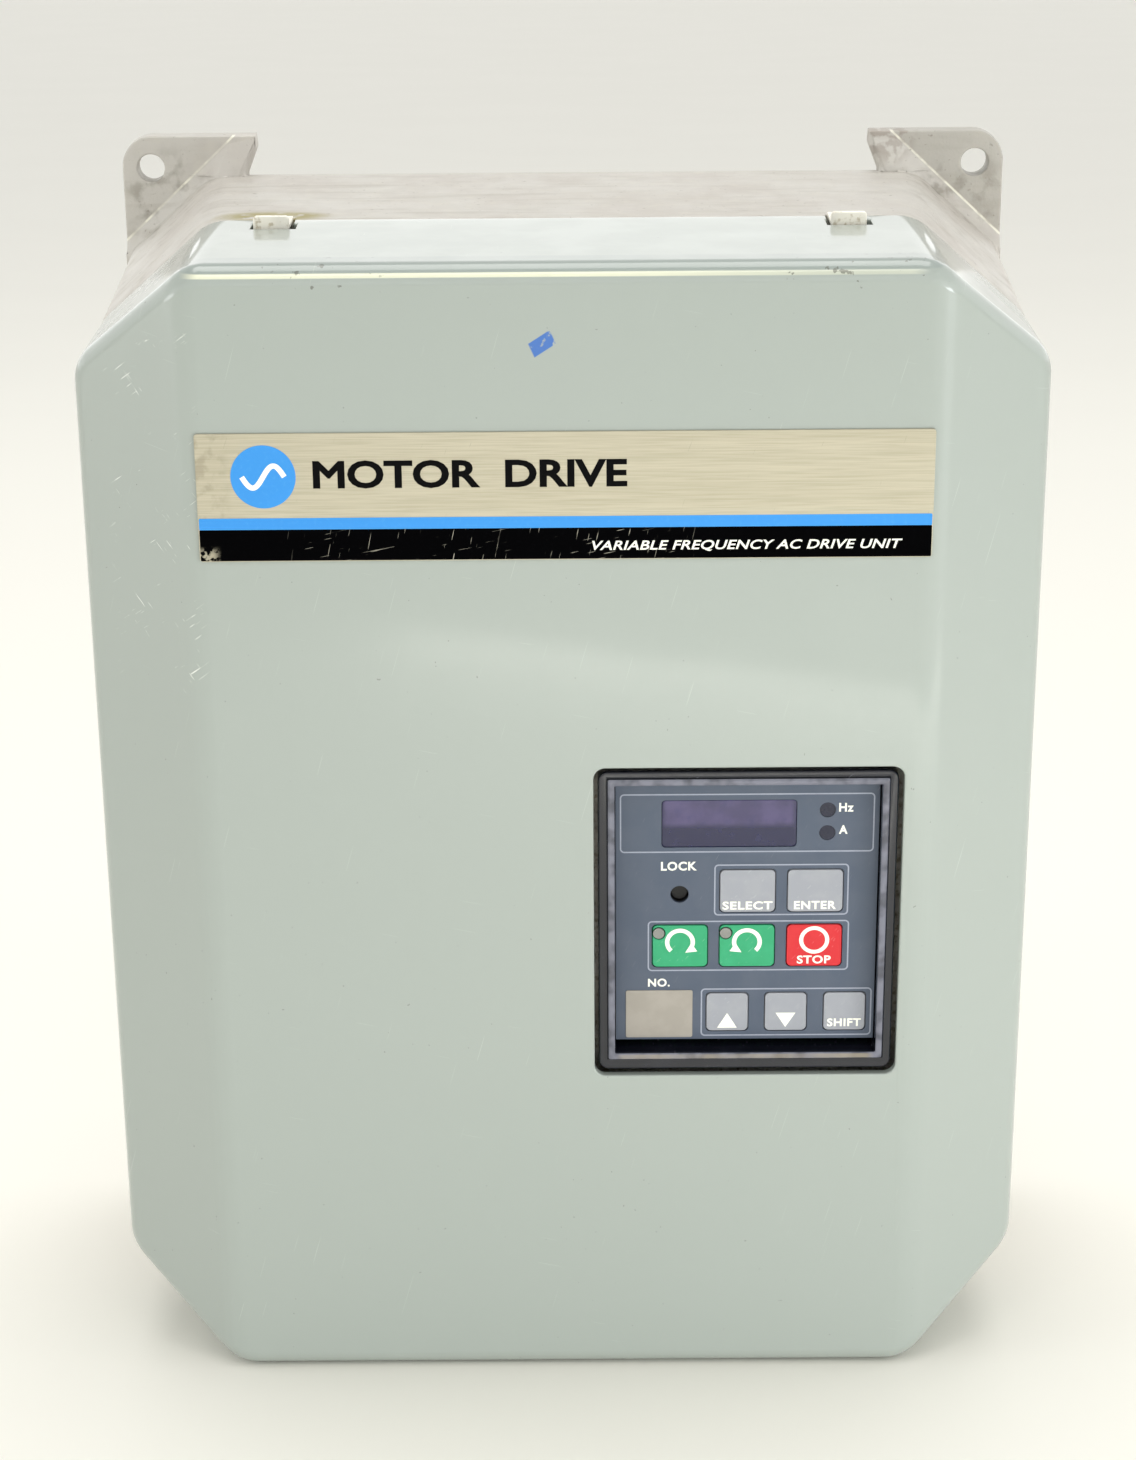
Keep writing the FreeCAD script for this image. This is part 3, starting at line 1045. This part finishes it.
def keypad_board():
    back = "Dims.board_front - Dims.board_thick"
    keep(block("keypad", ("Dims.face_left + 0.5", "Dims.face_right - 0.5"),
               depth("Dims.board_front - 0.02", back), ("Dims.face_low + 0.5", "Dims.face_high - 0.5")),
         "keypad_board")
    switches = []
    places = [(name, x, z) for name, x, z, _ in KEYS]
    for name, x, z in places:
        body = block(f"{name}_switch_body", around(x, "Dims.switch_half"),
                     depth("Dims.switch_top", "Dims.board_front"), around(z, "Dims.switch_half"))
        button = rod(f"{name}_switch_button", "-Y", "Dims.switch_button_r",
                     "Dims.switch_button - Dims.switch_top + 0.5",
                     (x, "-Dims.switch_top + 0.5", z))
        switches.append(fuse(f"{name}_switch", [body, button]))
    switches.append(block("lock_switch", around("Dims.lock_x", "Dims.switch_half"),
                          depth("Dims.face_front - 7.1", "Dims.board_front"),
                          around("Dims.lock_z", "Dims.switch_half")))
    keep(group("switches", switches), "key_switches")
    link = block("link", around("Dims.display_x", "20"),
                 depth(back + " - 0.02", "Dims.control_front + 0.02"), ("-47", "-43"))
    keep(link, "board_link")
    label = rounded_plate("label", around("Dims.label_x", "Dims.label_wide / 2"),
                          around("Dims.label_z", "Dims.label_tall / 2"),
                          "Dims.face_front + Dims.label_thick", "Dims.label_thick", "0.6")
    keep(label, "number_label")


# ---------------------------------------------------------------- bracket and control board

def pillar_places():
    return [
        (f"Dims.pillar_{side}", f"Dims.pillar_{level}")
        for side in ("left", "right") for level in ("low", "high")
    ]


# name, middle x, middle z, width and height of each chip on the control board
CHIPS = (
    ("processor", 34, 8, 30, 30),
    ("interface", 76, 10, 18, 24),
    ("memory", 30, -24, 12, 36),
    ("program", 52, -24, 12, 36),
    ("driver", 80, -22, 24, 10),
)


def bracket():
    back = "Dims.bracket_front - Dims.bracket_thick"
    pillars = [rod(f"pillar_{i}", "-Y", "Dims.pillar_r", f"{back} - Dims.floor_front",
                   (x, "-Dims.floor_front", z)) for i, (x, z) in enumerate(pillar_places())]
    keep(group("pillars", pillars), "bracket_pillars")
    sheet_metal = block("bracket_blank", ("Dims.pillar_left - 6", "Dims.pillar_right + 6"),
                        depth("Dims.bracket_front", back),
                        ("Dims.pillar_low - 6", "Dims.pillar_high + 6"))
    slot = block("bracket_slot", around("Dims.display_x", "22"),
                 depth("Dims.bracket_front + 1", f"{back} - 1"), LINK_SLOT)
    keep(cut("bracket", sheet_metal, [slot]), "panel_bracket")
    heads = [screw_head(f"bracket_screw_{i}", "3.4", "2", (x, "-Dims.bracket_front - 0.02", z))
             for i, (x, z) in enumerate(pillar_places())]
    keep(group("bracket_fixings", heads), "bracket_screws")
    control_back = "Dims.control_front - Dims.board_thick"
    board = block("control", ("Dims.pillar_left + 6", "Dims.pillar_right - 6"),
                  depth("Dims.control_front", control_back),
                  ("Dims.pillar_low + 2", "Dims.pillar_high - 2"))
    keep(board, "control_board")
    spacers = []
    places = [(x, z) for x in ("Dims.pillar_left + 10", "Dims.pillar_right - 10")
              for z in ("Dims.pillar_low + 8", "Dims.pillar_high - 8")]
    for i, (x, z) in enumerate(places):
        spacers.append(rod(f"spacer_{i}", "-Y", "Dims.standoff_r", f"{back} - Dims.control_front",
                           (x, "-Dims.control_front", z)))
    keep(group("spacers", spacers), "control_spacers")
    chips = [block(f"chip_{name}", around(f"{x}", f"{wide} / 2"),
                   depth("Dims.control_front + Dims.chip_tall", "Dims.control_front"),
                   around(f"{z}", f"{tall} / 2")) for name, x, z, wide, tall in CHIPS]
    keep(group("chips", chips), "control_chips")


# ---------------------------------------------------------------- power section

def power_section():
    """Power modules on the casting's floor and the power board that stands over them."""
    floor = "Dims.floor_front"
    back = "Dims.power_front - Dims.board_thick"
    fixings = []
    for kind in ("inverter", "rectifier"):
        x, wide, tall = f"Dims.{kind}_x", f"Dims.{kind}_wide", f"Dims.{kind}_tall"
        base = block(f"{kind}_base", around(x, f"{wide} / 2"), depth("Dims.module_base", floor),
                     around("Dims.module_z", f"{tall} / 2"))
        hood = block(f"{kind}_hood", around(x, f"{wide} / 2 - Dims.module_lip"),
                     depth("Dims.module_front", floor), around("Dims.module_z", f"{tall} / 2"))
        keep(fuse(f"{kind}_solid", [base, hood]), f"{kind}_module")
        for side in (-1, 1):
            middle = f"{x} + {side} * ({wide} - Dims.module_lip) / 2"
            fixings.append(screw_head(f"{kind}_screw_{side + 1}", "4", "3",
                                      (middle, "-Dims.module_base - 0.02", "Dims.module_z")))
    keep(group("module_fixings", fixings), "module_screws")
    keep(block("power", ("Dims.power_left", "Dims.power_right"), depth("Dims.power_front", back),
               ("Dims.power_low", "Dims.power_high")), "power_board")
    standoffs = []
    heads = []
    corners = [(f"Dims.power_{x} {in_x} Dims.standoff_inset", f"Dims.power_{z} {in_z} Dims.standoff_inset")
               for x, in_x in (("left", "+"), ("right", "-")) for z, in_z in (("low", "+"), ("high", "-"))]
    for i, (x, z) in enumerate(corners):
        standoffs.append(rod(f"standoff_{i}", "-Y", "Dims.standoff_r", f"{back} - {floor}",
                             (x, f"-{floor}", z)))
        heads.append(screw_head(f"board_screw_{i}", "3", "2", (x, "-Dims.power_front - 0.02", z)))
    keep(group("standoffs", standoffs), "board_standoffs")
    keep(group("board_fixings", heads), "board_screws")
    front = "Dims.power_front"
    core = block("core", around("Dims.core_x", "Dims.core_half"), depth(f"{front} + Dims.core_tall", front),
                 around("Dims.core_z", "Dims.core_half"))
    coil = block("coil", around("Dims.core_x", "Dims.core_half + 3"),
                 depth(f"{front} + Dims.core_tall - 6", f"{front} + 5"),
                 around("Dims.core_z", "Dims.core_half - 5"))
    keep(fuse("transformer", [core, coil]), "supply_transformer")
    rows = (("relay", "relays", 3, "14"), ("film", "snubber_capacitors", 6, "15"))
    for kind, node, count, half_tall in rows:
        blocks = [block(f"{kind}_{i}", around(f"Dims.{kind}_x + {i} * Dims.board_pitch", f"Dims.{kind}_half"),
                        depth(f"{front} + Dims.{kind}_tall", front), around(f"Dims.{kind}_z", half_tall))
                  for i in range(count)]
        keep(group(node, blocks), node)


def capacitor_places():
    return [
        (f"Dims.can_{side}", f"Dims.can_{level}")
        for side in ("left", "right") for level in ("low", "high")
    ]


def capacitors():
    """Four bus capacitors held by a plate on posts."""
    cans = []
    holes = []
    for i, (x, z) in enumerate(capacitor_places()):
        can = rod(f"can_{i}", "-Y", "Dims.can_r", "Dims.can_front - Dims.floor_front - Dims.can_lift",
                  (x, "-Dims.floor_front - Dims.can_lift", z))
        studs = [rod(f"can_stud_{i}_{sign + 1}", "-Y", "Dims.can_stud_r", "Dims.bar_lift + 1",
                     (f"{x} + {sign} * Dims.can_stud / 2", "-Dims.can_front + 1", z))
                 for sign in (-1, 1)]
        cans.append(fuse(f"can_whole_{i}", [can, *studs]))
        holes.append(rod(f"can_hole_{i}", "-Y", "Dims.can_r + 0.3", "6",
                         (x, "-Dims.can_plate + 2", z)))
    keep(group("cans", cans), "bus_capacitors")
    plate = block("can_plate", ("Dims.can_left - Dims.can_margin", "Dims.can_right + Dims.can_margin"),
                  depth("Dims.can_plate + 1.5", "Dims.can_plate"),
                  ("Dims.can_low - Dims.can_margin", "Dims.can_high + Dims.can_margin_high"))
    keep(cut("can_bracket", plate, holes), "capacitor_plate")
    between = "(Dims.can_left + Dims.can_right) / 2"
    middle = "(Dims.can_low + Dims.can_high) / 2"
    places = ((between, "Dims.can_low - 19"), (between, "Dims.can_high + 18"),
              ("Dims.can_right + 20", middle), ("Dims.can_left - 20", middle))
    posts = [rod(f"can_post_{i}", "-Y", "Dims.standoff_r", "Dims.can_plate - Dims.floor_front",
                 (x, "-Dims.floor_front", z)) for i, (x, z) in enumerate(places)]
    keep(group("can_posts", posts), "capacitor_posts")


def bus_bars():
    """One bar for each pole: two straps along the capacitors, joined by a bridge beyond them."""
    level = "Dims.can_front + Dims.bar_lift"
    layer = depth(f"{level} + Dims.bar_thick", f"{level} + 0.02")
    heads = []
    for name, sign in (("negative", -1), ("positive", 1)):
        row = "Dims.can_high" if sign > 0 else "Dims.can_low"
        left, right = (f"Dims.can_{side} + {sign} * Dims.can_stud / 2" for side in ("left", "right"))
        bridge = f"{row} + {sign} * Dims.bar_bridge"
        pieces = [block(f"bar_{name}_bridge", (left, right), layer, around(bridge, "Dims.bar_half"))]
        for side, x in (("left", left), ("right", right)):
            pieces.append(block(f"bar_{name}_{side}", around(x, "Dims.bar_half"), layer,
                                ("Dims.can_low - 5", "Dims.can_high + 5")))
            pieces.append(block(f"bar_{name}_tab_{side}", around(x, "Dims.bar_half"), layer,
                                around(f"{bridge} - {sign} * 3", "6")))
            for row_name in ("low", "high"):
                heads.append(screw_head(f"bus_screw_{name}_{side}_{row_name}", "3.2", "2.2",
                                        (x, f"-({level} + Dims.bar_thick + 0.05)", f"Dims.can_{row_name}")))
        keep(fuse(f"bus_{name}", pieces), f"bus_bar_{name}")
    keep(group("bus_fixings", heads), "bus_bar_screws")


def terminal_block(name, left, pitch, ways, front, tall):
    """Barrier strip: a body with a bay and a screw for each way."""
    z = "Dims.terminal_z"
    seat = f"{front} - Dims.terminal_bay"
    body = block(f"{name}_body", (left, f"{left} + {ways} * {pitch} + 2"),
                 depth(front, "Dims.floor_front"), around(z, f"{tall} / 2"))
    bays = []
    heads = []
    for way in range(ways):
        middle = f"{left} + 1 + {pitch} * {way} + {pitch} / 2"
        bays.append(block(f"{name}_bay_{way}", around(middle, f"{pitch} / 2 - Dims.terminal_wall"),
                          depth(f"{front} + 1", seat), around(z, f"{tall} / 2 - Dims.terminal_lip")))
        heads.append(screw_head(f"{name}_screw_{way}", f"{pitch} * 0.3", "3",
                                (middle, f"-({seat}) - 0.02", z)))
    keep(cut(f"{name}_cut", body, bays), name)
    keep(group(f"{name}_fixings", heads), f"{name}_screws")


def earth_stud():
    at = ("Dims.earth_x", "-Dims.floor_front", "Dims.earth_z")
    stud = rod("earth_thread", "-Y", "Dims.earth_r", "14", at)
    nut = rod("earth_nut", "-Y", "2 * Dims.earth_r", "4", (at[0], "-Dims.floor_front - 4", at[2]))
    washer = rod("earth_washer", "-Y", "2.6 * Dims.earth_r", "1.2", at)
    keep(fuse("earth", [stud, nut, washer]), "earth_stud")


# ---------------------------------------------------------------- build and write

chassis()
heat_sink()
cover_hooks()
conduit_plug()
fan_frame()
fan_rotor()
fan_guard()
power_section()
capacitors()
bus_bars()
terminal_block("power_terminals", "-122", "11", 7, "60", "22")
terminal_block("control_terminals", "50", "6", 11, "56", "16")
earth_stud()
bracket()
panel_bezel()
panel_face()
display()
lamps()
lock()
keypad_board()
keys()
front_cover()
cover_gasket()
nameplate()
cover_clamps()
doc.recompute()

for item in doc.Objects:
    if {"Invalid", "Error"} & set(item.State):
        raise RuntimeError(f"{item.Name} failed: {item.State}")
for piece in sub_parts:
    if piece.Shape.isNull() or not piece.Shape.isValid() or piece.Shape.Volume <= 0:
        raise RuntimeError(f"{piece.Label} has no valid solid")
os.makedirs("parts", exist_ok=True)
for piece in sub_parts:
    piece.Shape.exportStep(f"parts/{piece.Label}.step")
print(len(sub_parts), "sub-parts")
